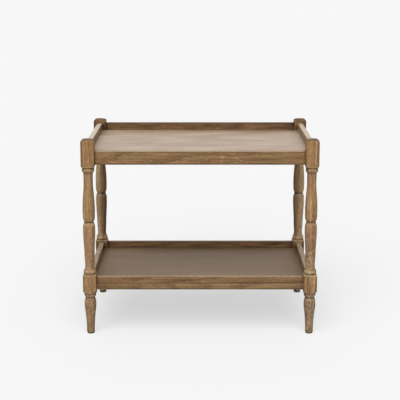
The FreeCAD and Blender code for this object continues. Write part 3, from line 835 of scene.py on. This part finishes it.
def barPiece(name, look, material):
    # An eased rectangle carried straight from leg to leg, along the longer side of the piece's box.
    spec = squareBar
    ease = spec["ease"]
    low, high = [np.array(corner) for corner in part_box(name)]
    runs = int(np.argmax(high - low))
    side = 1 - runs
    legFace = np.array(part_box("leg_back_right")[0])[runs] + spec["intoLeg"]
    middle = (low + high) / 2
    half = (high - low) / 2
    order = 1 if runs == 0 else -1
    outline, corner = easedOutline(half[side], half[2], spec)
    outline = outline[::order]
    corner = corner[::order]
    path = np.linspace(-legFace, legFace, spec["alongSteps"])
    rings = np.empty((len(path), len(outline), 3))
    rings[..., runs] = path[:, None]
    rings[..., side] = middle[side] + outline[:, 0]
    rings[..., 2] = middle[2] + outline[:, 1]

    # the top gets wear and a painted sheen, and on some bars painted shade; the lower arris holds painted
    # shade, a line under the upper one holds glaze, the ends beside the legs hold painted shade; the inner
    # face is weathered
    up = outline[:, 1]
    onTop = np.clip((up - half[2] + ease) / ease, 0, 1)
    onFoot = np.clip((ease - half[2] - up) / ease, 0, 1)
    line = np.exp(-((half[2] - look["lineDrop"] - up) / look["lineWidth"]) ** 2)
    footShadeLine = np.exp(-((half[2] - look["footDrop"] + up) / look["footWidth"]) ** 2)
    arrisWear = look["arrisWear"] * corner * (up > 0) * (1 - look["topShade"])
    wearAndLight = np.broadcast_to(np.maximum(onTop * look["topWearAndSheen"], arrisWear), rings.shape[:2])
    glazeAndShade = look["lineGlaze"] * line + look["topShade"] * onTop
    glazeAndShade = glazeAndShade + look["footEdgeShade"] * np.maximum(look["footShare"] * onFoot, footShadeLine)
    nearLeg = np.clip(1 - (legFace - np.abs(path)) / look["endRun"], 0, 1)[:, None] ** 2
    glazeAndShade = np.clip(glazeAndShade, 0, look["mostDarkening"]) + look["endShade"] * nearLeg
    inner = onFace(-np.sign(middle[side]) * outline[:, 0], half[side])
    weathered = np.broadcast_to(look["weather"] * inner, rings.shape[:2])
    marks = {"wearAndLight": wearAndLight, "glazeAndShade": glazeAndShade, "weathered": weathered}
    tubePiece(name + "_eased", rings, marks, name, material)


for seed, (node, changes) in enumerate(barLooks.items(), barFinish["firstSeed"]):
    look = {**barFinish, **changes}
    boxLow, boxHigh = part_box(node)
    grain = "YXZ" if "left" in node or "right" in node else "XYZ"
    across = "XYZ".index(grain[1])
    heart = [(boxLow[axis] + boxHigh[axis]) / 2 + offset
             for axis, offset in zip((across, 2), look["heart"])]
    barOak = oakMaterial("barOak_" + node, grain, heart, seed, **barWood, **look["wood"])
    barPiece(node, look, barOak)
print("rails and lips: eased")

# Panel, board and hidden pieces keep their CAD meshes


def setMaterial(node, material):
    nodes[node].data.materials.clear()
    nodes[node].data.materials.append(material)


panelSide, panelBack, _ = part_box("top_panel")[1]
# painted shade along the panel's sides and, stronger on the right, along its back
panelRim = {
    "side": (panelSide - 60 * mm, panelSide - 2 * mm),
    "sideDepth": 0.38,
    "back": (panelBack - 90 * mm, panelBack),
    "leftToRight": (-150 * mm, 250 * mm),
    "backLeft": 0.4,
    "backRight": 0.8,
}
panelPlace = {"heart": (20 * mm, 520 * mm), "seed": 31}
panelWood = {
    "lean": 0.04,
    "stops": [(0.0, srgb(96, 78, 60)), (0.25, srgb(132, 109, 86)), (0.50, srgb(160, 135, 110)),
              (0.75, srgb(184, 160, 136)), (1.0, srgb(206, 186, 164))],
    "tone": 0.69, "bands": (6.0, 15.0, 2.0), "bandDepth": 0.7, "streakDepth": 0.8, "blotchDepth": 0.35,
    "mottleDepth": 0.1, "speckDepth": 0.1, "roughness": 0.42, "specular": 0.6,
}
setMaterial("top_panel", oakMaterial("panelOak", "XYZ", rim=panelRim, **panelPlace, **panelWood))

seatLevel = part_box("shelf_front_lip")[0][2]
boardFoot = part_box("shelf_board")[0][2]
boardBand = {
    # stain in the joint under the lip, a painted light line below it, painted shade at the lower edge, a
    # greyer top
    "jointLow": (seatLevel - 2.0 * mm, seatLevel - 1.0 * mm),
    "jointHigh": (seatLevel, seatLevel + 0.5 * mm),
    "jointDepth": 0.3,
    "lightLow": (seatLevel - 6.0 * mm, seatLevel - 4.0 * mm),
    "lightHigh": (seatLevel - 3.0 * mm, seatLevel - 2.0 * mm),
    "lightDepth": 0.6,
    "edgeLow": (boardFoot + 0.1 * mm, boardFoot + 0.3 * mm),
    "edgeHigh": (boardFoot + 2.5 * mm, boardFoot + 4.0 * mm),
    "edgeDepth": 1.3,
    "topLow": (seatLevel + 0.3 * mm, seatLevel + 0.8 * mm),
    "topDepth": 0.4,
    "topColour": srgb(126, 111, 93),
}
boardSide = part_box("leg_back_right")[0][0]
boardRim = {"side": (boardSide - 22 * mm, boardSide - 2 * mm), "sideDepth": 0.35}
boardPlace = {"heart": (-30 * mm, 50 * mm), "seed": 37}
boardWood = {
    "lean": 0.04, "tone": 0.45, "streakDepth": 0.8, "blotchDepth": 0.30, "mottleDepth": 0.20,
    "roughness": 0.5, "specular": 0.4,
}
boardOak = oakMaterial("boardOak", "XYZ", band=boardBand, rim=boardRim, **boardPlace, **boardWood)
setMaterial("shelf_board", boardOak)

cleatPlaces = {
    "front": {"grain": "XYZ", "heart": (0.0, 500 * mm), "seed": 41},
    "back": {"grain": "XYZ", "heart": (0.0, 500 * mm), "seed": 41},
    "left": {"grain": "YXZ", "heart": (0.0, 500 * mm), "seed": 43},
    "right": {"grain": "YXZ", "heart": (0.0, 500 * mm), "seed": 43},
}
for side, place in cleatPlaces.items():
    setMaterial("tray_" + side + "_cleat", oakMaterial("cleatOak_" + side, **place))
dowelPlace = {"grain": "XYZ", "heart": (0.0, 100 * mm), "seed": 47}
setMaterial("shelf_dowels", oakMaterial("dowelOak", **dowelPlace))

glideFinish = {
    "noise": {"Scale": 220.0, "Detail": 3.0},
    "dark": srgb(38, 33, 28),
    "light": srgb(58, 50, 42),
    "roughness": 0.5,
    "roughSpread": 0.2,
    "bump": 0.2,
    "bumpHeight": 0.2 * mm,
}
glidePlastic, pen = newMaterial("glidePlastic")
place = pen.node("ShaderNodeTexCoord", out="Object")
mottle = pen.node("ShaderNodeTexNoise", {}, {"Vector": place, **glideFinish["noise"]})
bump = pen.node("ShaderNodeBump", {}, {"Strength": glideFinish["bump"],
                                       "Distance": glideFinish["bumpHeight"], "Height": mottle})
shadeWith(pen, {"Base Color": mottle.tint(glideFinish["dark"], glideFinish["light"]),
                "Roughness": glideFinish["roughness"] + mottle * glideFinish["roughSpread"],
                "Normal": bump})

screwFinish = {
    "noise": {"Scale": 600.0, "Detail": 3.0},
    "dark": srgb(150, 146, 138),
    "light": srgb(196, 192, 182),
    "roughness": 0.25,
    "roughSpread": 0.3,
}
screwSteel, pen = newMaterial("screwSteel")
place = pen.node("ShaderNodeTexCoord", out="Object")
stain = pen.node("ShaderNodeTexNoise", {}, {"Vector": place, **screwFinish["noise"]})
shadeWith(pen, {"Base Color": stain.tint(screwFinish["dark"], screwFinish["light"]), "Metallic": 1.0,
                "Roughness": screwFinish["roughness"] + stain * screwFinish["roughSpread"]})

for node in nodes:
    if node.endswith("screws") or node == "glide_nails":
        setMaterial(node, screwSteel)
    elif node.startswith("glide_"):
        setMaterial(node, glidePlastic)
print("materials: set")

# Floor, light and camera

studio = {
    "background": srgb(246, 246, 246),
    "white": (1.0, 1.0, 1.0, 1.0),
    "floorSide": 90.0,
    "floorColour": (0.38, 0.38, 0.38, 1.0),
    "floorGlow": 0.575,
    "skyBase": 0.34,
    "skySide": 0.30,
    "skyTop": 0.20,
    "skyFront": 0.25,
    "keyStrength": 2.3,
    "keyAngle": 60,
    "keyTilt": (42, -8),
}

floorMesh = bpy.data.meshes.new("floor")
reach = studio["floorSide"] / 2
floorCorners = [(-reach, -reach, 0), (reach, -reach, 0), (reach, reach, 0), (-reach, reach, 0)]
floorMesh.from_pydata(floorCorners, [], [(0, 1, 2, 3)])
floor = bpy.data.objects.new("floor", floorMesh)
bpy.context.collection.objects.link(floor)
floorPaint, pen = newMaterial("floorPaint")
seen = pen.node("ShaderNodeLightPath", out="Is Camera Ray")
glow = pen.node("ShaderNodeEmission", {}, {"Color": studio["white"], "Strength": studio["floorGlow"]})
matt = pen.node("ShaderNodeBsdfDiffuse", {}, {"Color": studio["floorColour"]})
lifted = pen.node("ShaderNodeAddShader", {}, {0: glow, 1: matt})
mixed = pen.node("ShaderNodeMixShader", {}, {0: seen, 1: matt, 2: lifted})
pen.node("ShaderNodeOutputMaterial", {}, {"Surface": mixed})
floorMesh.materials.append(floorPaint)

world = bpy.data.worlds.new("studio")
world.use_nodes = True
world.node_tree.nodes.clear()
bpy.context.scene.world = world
pen = Wire(world.node_tree)
toward = pen.node("ShaderNodeSeparateXYZ", {}, {0: pen.node("ShaderNodeTexCoord", out="Generated")})
fromFront = pen.maths("MAXIMUM", toward.other(1) * -1.0, 0.0)
fromTop = pen.maths("MAXIMUM", toward.other(2), 0.0)
fromSide = pen.maths("ABSOLUTE", toward.other(0))
skyLight = studio["skyBase"] + fromTop * studio["skyTop"] + fromFront * studio["skyFront"]
skyLight = skyLight - fromSide * studio["skySide"]
seen = pen.node("ShaderNodeLightPath", out="Is Camera Ray")
mirrored = pen.maths("MAXIMUM", seen.other("Is Glossy Ray"), seen.other("Is Transmission Ray"))
direct = pen.maths("MAXIMUM", seen, mirrored)
dome = pen.node("ShaderNodeBackground", {}, {"Color": studio["white"], "Strength": skyLight})
pale = pen.node("ShaderNodeBackground", {}, {"Color": studio["background"], "Strength": 1.0})
mixed = pen.node("ShaderNodeMixShader", {}, {0: direct, 1: dome, 2: pale})
pen.node("ShaderNodeOutputWorld", {}, {"Surface": mixed})

key = bpy.data.lights.new("key", "SUN")
key.energy = studio["keyStrength"]
key.angle = math.radians(studio["keyAngle"])
keyLamp = bpy.data.objects.new("key", key)
keyLamp.rotation_euler = [math.radians(turn) for turn in studio["keyTilt"]] + [0.0]
bpy.context.collection.objects.link(keyLamp)

viewpoint = {
    "place": (0.00007, -3.69739, 1.27425),
    "tilt": 79.984,
    "lens": 94.47,
    "sensor": 36.0,
    "shift": -0.1385,
}
lens = bpy.data.cameras.new("viewpoint")
lens.lens = viewpoint["lens"]
lens.sensor_width = viewpoint["sensor"]
lens.shift_y = viewpoint["shift"]
camera = bpy.data.objects.new("viewpoint", lens)
camera.location = viewpoint["place"]
camera.rotation_euler = (math.radians(viewpoint["tilt"]), 0.0, 0.0)
bpy.context.collection.objects.link(camera)
bpy.context.scene.camera = camera
bpy.context.scene.view_settings.view_transform = "Standard"
print("studio: lit")
